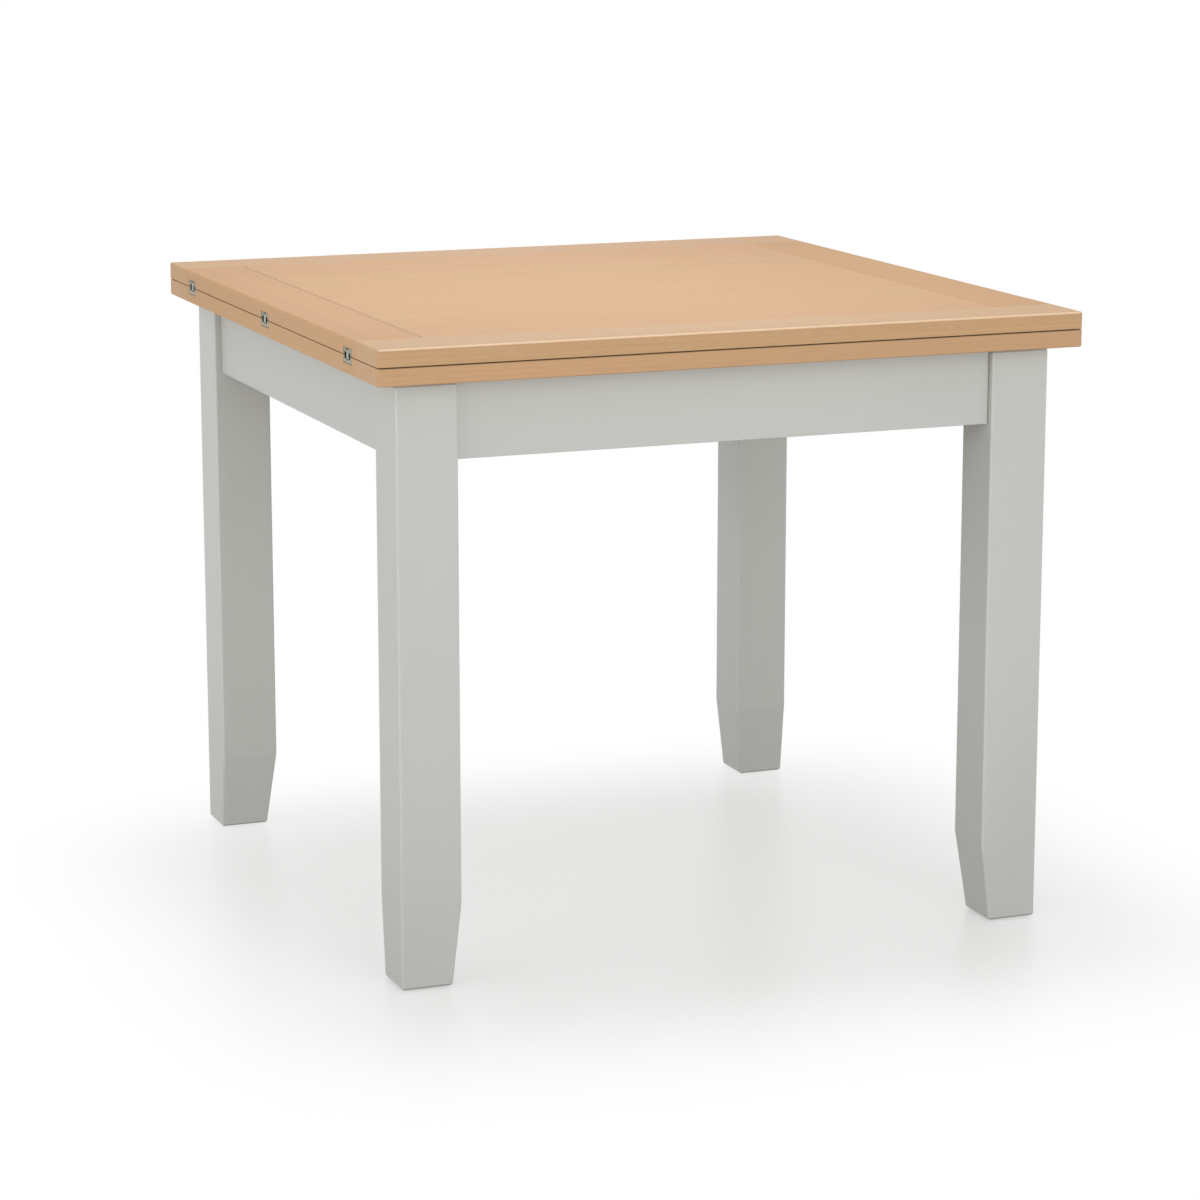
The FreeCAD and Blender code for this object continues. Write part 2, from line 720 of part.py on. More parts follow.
def build():
    nodes = {}
    corner_leg = leg()
    corner = corner_block()
    for place, signs in CORNERS.items():
        nodes[f"leg_{place}"] = in_corner(corner_leg, *signs)
        nodes[f"corner_block_{place}"] = in_corner(corner, *signs)
    nodes["apron_front"] = long_apron(-1)
    nodes["apron_back"] = long_apron(1)
    nodes["apron_left"] = end_apron(-1)
    nodes["apron_right"] = end_apron(1)
    nodes["apron_dowels"] = group(in_all_corners(dowel_seats(0)))
    nodes["hanger_bolts"] = group(in_all_corners(bolt_rods(0)))
    nodes["bolt_washers"] = group(in_all_corners(bolt_washers()))
    nodes["bolt_nuts"] = group(in_all_corners(bolt_nuts()))
    nodes["corner_block_screws"] = group(in_all_corners(block_screws()))
    nodes["foot_glides"] = group(in_all_corners([foot_glide()]))
    nodes["guide_rail_front"] = guide_rail(-1)
    nodes["guide_rail_back"] = guide_rail(1)
    nodes["cross_rail"] = cross_rail()
    nodes["slide_pads"] = group(slide_pads())

    nodes.update(leaf_pieces("lower_leaf", lower_leaf_bottom, -1))
    nodes.update(leaf_pieces("upper_leaf", upper_leaf_bottom, 1))
    nodes["runner_front"] = runner(-1)
    nodes["runner_back"] = runner(1)
    nodes["runner_screws"] = group(runner_screws(-1) + runner_screws(1))
    nodes["leaf_buffers"] = group(leaf_buffers())

    for side, leaf in ((-1, "lower"), (1, "upper")):
        edge_screws = []
        face_screws = []
        for row in hinge_rows:
            edge, face = hinge_screws(row, side, wood_screw)
            edge_screws += edge
            face_screws += face
        nodes[f"hinge_edge_screws_{leaf}"] = group(edge_screws)
        nodes[f"hinge_face_screws_{leaf}"] = group(face_screws)
        nodes[f"hinge_pins_{leaf}"] = group(hinge_pin(row, side) for row in hinge_rows)
        for place, row in zip(("front", "middle", "back"), hinge_rows):
            nodes[f"hinge_leaf_{leaf}_{place}"] = hinge_leaf(row, side)
    for place, row in zip(("front", "middle", "back"), hinge_rows):
        nodes[f"hinge_link_{place}"] = hinge_link(row)
    return nodes


os.makedirs("parts", exist_ok=True)
for node, shape in build().items():
    if not shape.isValid():
        raise ValueError(f"{node} is not a valid shape")
    shape.exportStep(f"parts/{node}.step")
    print(node, len(shape.Solids), round(shape.Volume, 1))
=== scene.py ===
"""Finish and studio setting for a square flip-top extending table."""

import json
import math

import bmesh
import bpy
from mathutils import Matrix, Vector

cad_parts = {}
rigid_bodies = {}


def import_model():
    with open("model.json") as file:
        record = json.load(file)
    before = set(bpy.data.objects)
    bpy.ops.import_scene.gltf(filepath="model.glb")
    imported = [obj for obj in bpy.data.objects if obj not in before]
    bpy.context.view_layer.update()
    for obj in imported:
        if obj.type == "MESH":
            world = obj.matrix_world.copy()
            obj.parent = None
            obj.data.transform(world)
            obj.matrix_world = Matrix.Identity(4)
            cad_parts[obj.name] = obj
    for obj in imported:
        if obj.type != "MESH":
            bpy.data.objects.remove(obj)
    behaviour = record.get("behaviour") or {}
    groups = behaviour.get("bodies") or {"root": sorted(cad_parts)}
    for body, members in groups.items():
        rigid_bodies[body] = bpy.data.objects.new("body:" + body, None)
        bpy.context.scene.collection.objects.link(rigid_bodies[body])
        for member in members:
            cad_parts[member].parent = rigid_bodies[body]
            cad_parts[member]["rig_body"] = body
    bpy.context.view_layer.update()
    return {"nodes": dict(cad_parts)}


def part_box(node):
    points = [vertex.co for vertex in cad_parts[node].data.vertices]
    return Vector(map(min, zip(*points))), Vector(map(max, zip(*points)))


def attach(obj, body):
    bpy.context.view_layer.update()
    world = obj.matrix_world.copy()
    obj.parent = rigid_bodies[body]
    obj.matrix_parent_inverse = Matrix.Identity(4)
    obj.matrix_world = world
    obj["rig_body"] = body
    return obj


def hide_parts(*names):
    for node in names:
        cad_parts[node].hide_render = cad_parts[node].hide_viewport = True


bl_info = {
    "name": "Flip-top table finish",
    "version": (1, 0, 0),
    "blender": (4, 5, 0),
    "location": "3D View > Sidebar > Table",
    "description": "Oak, paint and hardware finishes for a flip-top table, with its screws",
    "category": "Object",
}

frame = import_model()
nodes = frame["nodes"]

LEAVES = ("lower", "upper")
ROWS = ("front", "middle", "back")
BLOCK_NODES = sorted(name for name in nodes
                     if name.startswith("corner_block_") and name != "corner_block_screws")
HINGE_LINK_NODES = sorted(name for name in nodes if name.startswith("hinge_link_"))
OUTER_ROW = sum(corner[1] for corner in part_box("hinge_leaf_lower_back")) / 2
body_of_node = {name: node["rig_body"] for name, node in nodes.items()}


# --- node trees ---------------------------------------------------------------
class Graph:
    """A node tree being built, with short calls for the nodes that recur."""

    def __init__(self, tree):
        self.tree = tree
        tree.nodes.clear()

    def node(self, kind, inputs=None, **settings):
        """Adds a node with its settings, and gives its inputs their values or links."""
        made = self.tree.nodes.new(kind)
        for key, value in settings.items():
            setattr(made, key, value)
        for key, value in (inputs or {}).items():
            self.feed(made.inputs[key], value)
        return made

    def feed(self, socket, value):
        if isinstance(value, bpy.types.NodeSocket):
            self.tree.links.new(value, socket)
        else:
            socket.default_value = value

    def calc(self, operation, *values, clamp=False):
        made = self.node("ShaderNodeMath", operation=operation, use_clamp=clamp)
        for socket, value in zip(made.inputs, values):
            self.feed(socket, value)
        return made.outputs[0]

    def mix(self, factor, first, second, blend="MIX"):
        made = self.node("ShaderNodeMix", data_type="RGBA", blend_type=blend)
        for index, value in ((0, factor), (6, first), (7, second)):
            self.feed(made.inputs[index], value)
        return made.outputs[2]

    def lay(self, base, mask, strength, colour):
        """Lays a colour over the base where a mask is 1, as strongly as said."""
        return self.mix(self.calc("MULTIPLY", mask, strength, clamp=True), base, colour)

    def fit(self, value, low, high, to_low=0.0, to_high=1.0, smooth=False):
        """A value taken from one range to another, and held at its ends."""
        kind = "SMOOTHSTEP" if smooth else "LINEAR"
        made = self.node("ShaderNodeMapRange", interpolation_type=kind)
        for index, number in enumerate((value, low, high, to_low, to_high)):
            self.feed(made.inputs[index], number)
        return made.outputs[0]

    def noise(self, vector, scale, detail=2.0, roughness=0.5):
        """Noise whose scale is given along each axis, in cells per metre."""
        stretched = self.node("ShaderNodeVectorMath", {0: vector, 1: scale}, operation="MULTIPLY")
        return self.node("ShaderNodeTexNoise", {
            "Vector": stretched.outputs[0],
            "Scale": 1.0,
            "Detail": detail,
            "Roughness": roughness,
        }).outputs["Fac"]

    def place(self, turn=(0.0, 0.0, 0.0), shift=(0.0, 0.0, 0.0)):
        """Object coordinates, turned so that X runs along a grain, and shifted."""
        coords = self.node("ShaderNodeTexCoord").outputs["Object"]
        return self.node("ShaderNodeMapping", {
            "Vector": coords,
            "Location": shift,
            "Rotation": turn,
        }).outputs[0]

    def near(self, value, target, reach):
        """1 where a value is at its target, falling to 0 at a distance of reach."""
        gap = self.calc("ABSOLUTE", self.calc("SUBTRACT", value, target))
        return self.calc("SUBTRACT", 1.0, self.calc("DIVIDE", gap, reach), clamp=True)

    def bump(self, height, strength, distance):
        return self.node("ShaderNodeBump", {
            "Strength": strength,
            "Distance": distance,
            "Height": height,
        }).outputs[0]


def srgb(red, green, blue):
    """A colour written as it is seen, 0 to 255, as the linear colour that a shader takes."""
    def linear(value):
        share = value / 255
        return share / 12.92 if share <= 0.04045 else ((share + 0.055) / 1.055) ** 2.4
    return (linear(red), linear(green), linear(blue), 1.0)


def tinted(colour, red, green, blue):
    """A colour with each of its channels multiplied."""
    return (colour[0] * red, colour[1] * green, colour[2] * blue, 1.0)


def shaded(colour, factor):
    """A colour made lighter or darker."""
    return tinted(colour, factor, factor, factor)


def new_material(name):
    """A material, and the graph of its nodes."""
    material = bpy.data.materials.new(name)
    material.use_nodes = True
    return material, Graph(material.node_tree)


def finish_shader(graph, colour, roughness, normal, **values):
    """Ends a material with its shader, whose further inputs are given by name."""
    inputs = {"Base Color": colour, "Roughness": roughness, "Normal": normal, **values}
    shader = graph.node("ShaderNodeBsdfPrincipled", inputs)
    graph.node("ShaderNodeOutputMaterial", {"Surface": shader.outputs[0]})


# --- materials ------------------------------------------------------------------
# Tones that multiply the colour under them
SHEEN_FALLOFF_TONE = (0.975, 0.952, 0.888, 1.0)     # painted light: the oak more golden where its sheen would be weaker
STILE_EDGE = (1.08, 1.12, 1.15, 1.0)    # a stile's outer edge
RAIL_END = (1.04, 1.045, 1.02, 1.0)     # the rails' end grain
LOW_SHADE_TONE = (0.925, 0.925, 0.922, 1.0)     # painted shade: the paint darker towards the floor

# Colours that no user would change
ARRIS_HIGHLIGHT_COLOUR = (0.855, 0.631, 0.434, 1.0)   # painted highlight along the top arrises of the upper leaf
FELT_COLOUR = srgb(120, 118, 112)
NYLON_COLOUR = srgb(52, 52, 50)

# How far each mark reaches from its line, in metres like every length here
SEAM_REACH = 0.0011           # the dark joint between panel and stile
ARRIS_HIGHLIGHT_REACH = 0.0025          # the painted highlight on the long arris of a rail
GAP_SHADE_REACH = 0.0013        # the painted shade in the gap where the two leaves meet
POCKET_SHADE_REACH = 0.0022         # the painted shade in the gap round a hinge
LEG_ARRIS_REACH = 0.0034      # the painted highlight on a leg's upright arrises, and its chips
CONTACT_SHADE_REACH = 0.0024            # the painted contact shadow at the bottom edge of a foot
CHIP_REACH = 0.016            # the chips above it
LOW_SHADE_REACH = 0.32            # the painted shade, up from the floor

# Where the tones of the oak begin and end
EDGE_BAND = 0.0011            # a leaf's front and back edges, this far in
END_BAND = (0.0015, 0.0003)   # a leaf's ends, fading in between these distances from them
SHEEN_FALLOFF_SPAN = (0.0, 0.42)     # the golden tone of the painted sheen falloff, along X
SHEEN_FALLOFF_CORNER_SPAN = (0.3, 0.85)    # and along Y less X, towards the back left corner
SEAM_STRENGTH = (0.8, 0.1)    # at the joint by the hinges and at the other one

# Growth of the wood
OAK_RINGS = 0.0065            # from one growth ring to the next
OAK_PITH = 0.085              # depth of the tree's middle below a board
PLAIN_RINGS = 0.004           # likewise, in the hardwood of the inner frame
PLAIN_PITH = 0.05
PLAIN_GRAIN = (0.02, 0.013, 0.0)
RING_WANDER = 0.06            # how far the rings stray from a circle
STAVE_SPREAD = 0.11           # how far apart the staves of a panel grew in their trees

# Other finishes
OAK_ROUGHNESS = 0.42
PLAIN_ROUGHNESS = 0.6
BACK_LEG_LIFT = 1.07          # painted light: the back legs' paint lighter than the front ones', against their shade
HINGE_SHADES = (("lower", 1.0), ("upper", 0.7))      # painted shade: the upper bodies darker, for the dark that they mirror
RECESS_SHADE_FADE = (0.0006, 0.0018)  # how far behind a hinge's face its painted shade begins and is full

# Where in its tree each board of the lower leaf grew, and how far on the upper leaf's did
PANEL_GRAIN = (0.0, 0.021, 0.0)
RAIL_GRAIN = (1.7, 0.33, 0.01)
STILE_GRAIN = (2.9, 0.12, 0.02)
LEAF_SHIFT = 0.37

GRAIN_TURN = {
    "X": (0.0, 0.0, 0.0),
    "Y": (0.0, 0.0, math.pi / 2),
    "Z": (0.0, math.pi / 2, 0.0),
}


def wood_pattern(graph, along, shift, ring_spacing, pith_depth, stave_width=None):
    """Growth rings, fibres and pores of a board; returns them with the stave tone."""
    place = graph.place(GRAIN_TURN[along], shift)
    axes = graph.node("ShaderNodeSeparateXYZ", {0: place})
    across = axes.outputs[1]
    tone = graph.noise(place, (0.6, 3.0, 3.0), detail=1.0)
    if stave_width:
        stave = graph.calc("FLOOR", graph.calc("DIVIDE", across, stave_width))
        lot = graph.node("ShaderNodeTexWhiteNoise", {"W": stave}, noise_dimensions="1D")
        chance = lot.outputs["Value"]
        tone = graph.calc("ADD", graph.calc("MULTIPLY", tone, 0.5),
                          graph.calc("MULTIPLY", chance, 0.5))
        across = graph.calc("ADD", graph.calc("MODULO", across, stave_width),
                            graph.calc("MULTIPLY", chance, STAVE_SPREAD))
    wander = graph.noise(place, (0.9, 5.0, 5.0))
    drift = graph.calc("MULTIPLY", graph.calc("SUBTRACT", wander, 0.5), RING_WANDER)
    side = graph.calc("ADD", across, drift)
    depth = graph.calc("ADD", axes.outputs[2], pith_depth)
    radius = graph.calc("SQRT", graph.calc("ADD", graph.calc("MULTIPLY", side, side),
                                           graph.calc("MULTIPLY", depth, depth)))
    phase = graph.calc("FRACT", graph.calc("DIVIDE", radius, ring_spacing))
    late = graph.calc("POWER", phase, 3.0)
    fibre = graph.noise(place, (7.0, 700.0, 700.0), detail=3.0, roughness=0.6)
    streak = graph.noise(place, (1.6, 55.0, 55.0))
    pore = graph.fit(graph.noise(place, (45.0, 1500.0, 1500.0), detail=1.0), 0.62, 0.74)
    return late, fibre, streak, pore, tone


def from_row(graph, y):
    """How far a point is, along the hinged edge, from the middle of the nearest hinge."""
    away = graph.calc("ABSOLUTE", y)
    outer = graph.calc("ABSOLUTE", graph.calc("SUBTRACT", away, OUTER_ROW))
    return graph.calc("MINIMUM", away, outer)


def pocket_shade(graph, x, y, z, leaf):
    """1 along the outline of the hinge pockets in a leaf's edge."""
    low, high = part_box(f"hinge_leaf_{leaf}_middle")
    off_level = graph.calc("ABSOLUTE", graph.calc("SUBTRACT", z, (low[2] + high[2]) / 2))
    beyond = graph.calc("MAXIMUM",
                        graph.calc("SUBTRACT", from_row(graph, y), high[1]),
                        graph.calc("SUBTRACT", off_level, (high[2] - low[2]) / 2))
    return graph.calc("MULTIPLY", graph.near(beyond, 0.0, POCKET_SHADE_REACH),
                      graph.near(x, low[0], POCKET_SHADE_REACH))


def marks_on(graph, base, colour, leaf):
    """Adds marks on a leaf: a golden tone that paints in the sheen falling off, dark joints,
    painted shade in the gaps between the leaves and round the hinges, and a painted highlight on
    the upper leaf's arrises.
    """
    panel_end, panel_side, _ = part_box(f"{leaf}_leaf_panel")[1]
    rail_low, rail_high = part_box(f"{leaf}_leaf_front_rail")
    edge = -rail_low[1]
    x, y, z = graph.node("ShaderNodeSeparateXYZ", {0: graph.place()}).outputs
    across = graph.calc("ABSOLUTE", y)
    on_edge = graph.fit(across, edge - EDGE_BAND, edge)

    # painted sheen falloff: more golden towards the right end and the back left corner
    drift = graph.calc("MAXIMUM", graph.fit(x, *SHEEN_FALLOFF_SPAN, smooth=True),
                       graph.fit(graph.calc("SUBTRACT", y, x), *SHEEN_FALLOFF_CORNER_SPAN, smooth=True))
    drift = graph.calc("MULTIPLY", drift, graph.calc("SUBTRACT", 1.0, on_edge))
    base = graph.mix(drift, base, SHEEN_FALLOFF_TONE, "MULTIPLY")

    seam = graph.calc("MULTIPLY",
                      graph.near(graph.calc("ABSOLUTE", x), panel_end, SEAM_REACH),
                      graph.calc("LESS_THAN", across, panel_side))
    darkness = graph.fit(x, -panel_end, panel_end, *SEAM_STRENGTH)
    base = graph.lay(base, seam, darkness, shaded(colour, 0.18))

    meeting_level = (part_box("lower_leaf_panel")[1][2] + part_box("upper_leaf_panel")[0][2]) / 2
    # painted shade in the gap where the leaves meet, along their front and back edges
    lip = graph.calc("MULTIPLY", graph.near(z, meeting_level, GAP_SHADE_REACH), on_edge)
    base = graph.lay(base, lip, 1.3, shaded(colour, 0.08))

    if leaf == "upper":
        # painted highlight along the front and back arrises of the top
        arris = graph.calc("MULTIPLY", graph.near(across, edge, ARRIS_HIGHLIGHT_REACH),
                           graph.near(z, rail_high[2], ARRIS_HIGHLIGHT_REACH))
        base = graph.lay(base, arris, 1.5, ARRIS_HIGHLIGHT_COLOUR)
    # painted shade round the hinge pockets
    return graph.lay(base, pocket_shade(graph, x, y, z, leaf), 0.9, shaded(colour, 0.15))


def oak(name, along, colour, shift, leaf, sheen, stave_width=None, end_tone=None):
    """Light satin-lacquered oak with quiet grain."""
    material, graph = new_material(name)
    late, fibre, streak, pore, tone = wood_pattern(graph, along, shift, OAK_RINGS, OAK_PITH,
                                                   stave_width)
    warm = tinted(colour, 1.01, 0.965, 0.95)
    cool = tinted(colour, 0.985, 1.01, 0.96)
    base = graph.mix(graph.fit(tone, 0.3, 0.7, smooth=True), cool, warm)
    base = graph.lay(base, late, 0.62, shaded(colour, 0.85))
    base = graph.mix(graph.fit(streak, 0.35, 0.75, 0.0, 0.62), base, shaded(colour, 0.88))
    base = graph.mix(graph.fit(fibre, 0.3, 0.8, 0.0, 0.55), base, shaded(colour, 1.09))
    base = graph.lay(base, pore, 0.40, shaded(colour, 0.55))
    if end_tone:
        x = graph.node("ShaderNodeSeparateXYZ", {0: graph.place()}).outputs[0]
        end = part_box(f"{leaf}_leaf_front_rail")[1][0]
        at_end = graph.fit(graph.calc("ABSOLUTE", x), end - END_BAND[0], end - END_BAND[1])
        base = graph.mix(at_end, base, end_tone, "MULTIPLY")
    base = marks_on(graph, base, colour, leaf)
    height = graph.calc("SUBTRACT", graph.calc("MULTIPLY", fibre, 0.35), pore)
    rough = graph.fit(fibre, 0.2, 0.8, OAK_ROUGHNESS - 0.05, OAK_ROUGHNESS + 0.07)
    finish_shader(graph, base, rough, graph.bump(height, strength=0.25, distance=0.00012),
                  **{"Specular IOR Level": sheen})
    return material


def arris_mask(graph):
    """1 along the four upright arrises of each leg, 0 on its flats."""
    low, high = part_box("leg_back_right")
    x, y, _ = graph.node("ShaderNodeSeparateXYZ", {0: graph.place()}).outputs
    marks = []
    for axis, value in enumerate((x, y)):
        away = graph.calc("ABSOLUTE", value)
        marks.append(graph.calc("MAXIMUM", graph.near(away, low[axis], LEG_ARRIS_REACH),
                                graph.near(away, high[axis], LEG_ARRIS_REACH)))
    return graph.calc("MULTIPLY", *marks)


def contact_shade_and_chips(graph):
    """1 along the bottom edge of each foot, as a painted contact shadow, and in small chips on its
    arrises.
    """
    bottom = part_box("leg_back_right")[0][2]
    place = graph.place()
    z = graph.node("ShaderNodeSeparateXYZ", {0: place}).outputs[2]
    broken = graph.fit(graph.noise(place, (260.0, 260.0, 260.0)), 0.54, 0.60)
    chips = graph.calc("MULTIPLY", graph.calc("MULTIPLY", arris_mask(graph), broken),
                       graph.calc("LESS_THAN", z, bottom + CHIP_REACH))
    # painted contact shadow along the bottom edge
    rim = graph.near(z, bottom, CONTACT_SHADE_REACH)
    return graph.calc("MAXIMUM", rim, chips)


def paint(name, along, colour, shading_and_wear=False):
    """Satin paint over close-grained wood, which shows through a little."""
    material, graph = new_material(name)
    place = graph.place(GRAIN_TURN[along])
    brushed = graph.noise(place, (9.0, 420.0, 420.0), detail=3.0, roughness=0.6)
    levelled = graph.noise(place, (60.0, 120.0, 120.0))
    cloud = graph.noise(place, (2.0, 5.0, 5.0))
    base = graph.mix(graph.fit(cloud, 0.3, 0.7, smooth=True), shaded(colour, 0.975),
                     shaded(colour, 1.02))
    base = graph.mix(graph.fit(brushed, 0.35, 0.75, 0.0, 0.2), base, shaded(colour, 0.95))
    if shading_and_wear:
        # painted highlight on the upright arrises
        base = graph.mix(arris_mask(graph), base, shaded(colour, 1.13))
        # painted shade, darker towards the floor
        level = graph.node("ShaderNodeSeparateXYZ", {0: graph.place()}).outputs[2]
        low_shade = graph.fit(level, 0.0, LOW_SHADE_REACH, smooth=True)
        base = graph.mix(low_shade, graph.mix(1.0, base, LOW_SHADE_TONE, "MULTIPLY"), base)
        # painted contact shadow at the foot's bottom edge, with real chips above it
        base = graph.lay(base, contact_shade_and_chips(graph), 0.7, shaded(colour, 0.3))
    height = graph.calc("ADD", graph.calc("MULTIPLY", brushed, 0.6), levelled)
    rough = graph.fit(cloud, 0.3, 0.7, 0.40, 0.50)
    finish_shader(graph, base, rough, graph.bump(height, strength=0.22, distance=0.00018))
    return material


def plain_wood(name, along, colour):
    """Unpainted hardwood of the inner frame, with plain rings and fibres."""
    material, graph = new_material(name)
    late, fibre, streak, pore, tone = wood_pattern(graph, along, PLAIN_GRAIN, PLAIN_RINGS,
                                                   PLAIN_PITH)
    base = graph.mix(graph.fit(tone, 0.3, 0.7, smooth=True), shaded(colour, 0.93),
                     shaded(colour, 1.05))
    base = graph.lay(base, late, 0.7, shaded(colour, 0.74))
    base = graph.mix(graph.fit(streak, 0.35, 0.75, 0.0, 0.5), base, shaded(colour, 0.84))
    base = graph.lay(base, pore, 0.5, shaded(colour, 0.5))
    height = graph.calc("SUBTRACT", fibre, pore)
    rough = graph.fit(fibre, 0.2, 0.8, PLAIN_ROUGHNESS - 0.08, PLAIN_ROUGHNESS + 0.1)
    finish_shader(graph, base, rough, graph.bump(height, strength=0.35, distance=0.0002))
    return material


def metal(name, colour, roughness, along="X", recess=None):
    """Plated steel with a fine drawn finish, a few dull patches and painted shade in its recesses.

    A recess is the X of the face that it starts from, its depth and half its width.
    """
    material, graph = new_material(name)
    place = graph.place(GRAIN_TURN[along])
    drawn = graph.noise(place, (400.0, 9000.0, 9000.0))
    patch = graph.noise(place, (260.0, 260.0, 260.0), detail=3.0)
    base = graph.mix(graph.fit(patch, 0.35, 0.7), shaded(colour, 0.86), shaded(colour, 1.05))
    if recess:
        face, depth, half_width = recess
        x, y, _ = graph.node("ShaderNodeSeparateXYZ", {0: graph.place()}).outputs
        inside = graph.calc("MULTIPLY",
                            graph.fit(x, face + RECESS_SHADE_FADE[0], face + RECESS_SHADE_FADE[1]),
                            graph.calc("LESS_THAN", x, face + depth))
        inside = graph.calc("MULTIPLY", inside,
                            graph.calc("LESS_THAN", from_row(graph, y), half_width))
        # painted shade inside the window
        base = graph.mix(inside, base, shaded(colour, 0.06))
    rough = graph.fit(patch, 0.3, 0.75, roughness - 0.06, roughness + 0.14)
    finish_shader(graph, base, rough, graph.bump(drawn, strength=0.12, distance=0.00003),
                  Metallic=1.0)
    return material


def felt(name, colour):
    """Pressed felt, with matted fibres."""
    material, graph = new_material(name)
    place = graph.place()
    matted = graph.noise(place, (900.0, 900.0, 900.0), detail=4.0, roughness=0.7)
    base = graph.mix(graph.fit(matted, 0.35, 0.65), shaded(colour, 0.7), shaded(colour, 1.3))
    rough = graph.fit(matted, 0.3, 0.7, 0.88, 1.0)
    finish_shader(graph, base, rough, graph.bump(matted, strength=0.8, distance=0.0006),
                  **{"Sheen Weight": 0.4, "Sheen Roughness": 0.6})
    return material


def nylon(name, colour):
    """Moulded nylon with a fine spark-eroded grain."""
    material, graph = new_material(name)
    grainy = graph.noise(graph.place(), (2500.0, 2500.0, 2500.0))
    base = graph.mix(grainy, shaded(colour, 0.85), shaded(colour, 1.15))
    rough = graph.fit(grainy, 0.3, 0.7, 0.42, 0.55)
    finish_shader(graph, base, rough, graph.bump(grainy, strength=0.3, distance=0.00005))
    return material


def dress(names, material):
    """Puts a material on CAD nodes in place of their plain one."""
    for name in names:
        for slot in nodes[name].material_slots:
            slot.material = material


def grain_place(first, number):
    """Where in its tree a board grew, for the leaf of that number."""
    offset = LEAF_SHIFT * number
    return (first[0] + offset, first[1] + offset, first[2])


# --- hardware --------------------------------------------------------------------
SAME_POINT = 1e-6             # corners closer than this are merged
END_SLICE = 1e-4              # points within this of a solid's end belong to the end
ORDER_DIGITS = 5              # of the places by which solids are put in order
SMOOTH_ANGLE = 35.0           # faces that meet at less than this are shaded as one, in degrees
CUT_MARGIN = 0.001            # how far a cutter stands out of the face that it cuts

WINDOW_WIDTH = 0.022          # of the opening in a hinge where its link and pins show
WINDOW_DEPTH = 0.0051
WINDOW_HEIGHT = 0.0036        # from the face where the leaves meet
RECESS_SHADE_DEPTH = 1.05             # how deep its painted shade reaches, of the window's depth
RECESS_SHADE_HALF_WIDTH = 0.505       # and how far to each side, of the window's width

SCREW_SIDES = 28
RECESS_ARM = 0.56             # half the length of the cross, of the head's radius
RECESS_SLOT = 0.13            # half the width of an arm, likewise
RECESS_DEPTH = 0.55           # likewise
RECESS_FLOOR = 0.55           # the size of the recess's floor, of its mouth's
RECESS_CORNER = 1.6           # how far out its inner corners stand, of half an arm's width
HEAD_LIP = 0.06               # the straight rim of the head, of its radius
POINT_LENGTH = 2.0            # of the shank's radius
POINT_WIDTH = 0.15            # the blunt tip, of the shank's width
RECESS_TURN = 0.83            # from each screw's recess to the next one's, in radians
SHANK_WIDTH = 0.5             # of the head's width
EDGE_SCREW_SHANK_WIDTH = 0.59       # likewise, of the screws in the hinged edge

THREAD_SIDES = 20
BOLT_RADIUS = 0.004
BOLT_PITCH = 0.00125
THREAD_DEPTH = 0.55           # of the pitch
THREAD_ROOT_END = 0.25        # where each ridge begins to rise, of the pitch
THREAD_CREST = (0.6, 0.7)     # where its crest begins and ends, likewise
ROD_START = 0.9               # the width of the rod's first end, of the thread's root
BOLT_SMOOTH_ANGLE = 20.0


def object_from(bm, name):
    """Turns a finished bmesh into an object of the scene."""
    made = bpy.data.objects.new(name, bpy.data.meshes.new(name))
    bm.to_mesh(made.data)
    bm.free()
    bpy.context.scene.collection.objects.link(made)
    return made


def put_in_order(bm):
    """Puts corners, edges and faces in an order that is the same in every run."""
    for items, place in ((bm.verts, lambda vert: tuple(vert.co)),
                         (bm.edges, lambda edge: tuple(edge.verts[0].co + edge.verts[1].co)),
                         (bm.faces, lambda face: tuple(face.calc_center_median()))):
        ranks = {item: rank for rank, item in enumerate(sorted(items, key=place))}
        items.sort(key=ranks.get)


def piece_from(bm, name, material, stands_for, smooth_angle=SMOOTH_ANGLE):
    """Turns a finished bmesh into a piece that replaces a CAD node on its body."""
    bmesh.ops.recalc_face_normals(bm, faces=bm.faces)
    put_in_order(bm)
    piece = object_from(bm, name)
    piece.data.set_sharp_from_angle(angle=math.radians(smooth_angle))
    piece.data.materials.append(material)
    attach(piece, body_of_node[stands_for])
    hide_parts(stands_for)


def window_cutter(node):
    """A block that fills a hinge body's window and stands out of its open sides."""
    low, high = (Vector(corner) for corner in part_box(node))
    if "_lower_" in node:
        bottom, top = high.z - WINDOW_HEIGHT, high.z + CUT_MARGIN
    else:
        bottom, top = low.z - CUT_MARGIN, low.z + WINDOW_HEIGHT
    front, back = low.x - CUT_MARGIN, low.x + WINDOW_DEPTH
    size = Vector((back - front, WINDOW_WIDTH, top - bottom))
    middle = Vector(((front + back) / 2, (low.y + high.y) / 2, (bottom + top) / 2))
    bm = bmesh.new()
    bmesh.ops.create_cube(bm, size=1.0,
                          matrix=Matrix.Translation(middle) @ Matrix.Diagonal((*size, 1.0)))
    return object_from(bm, "hinge_window")


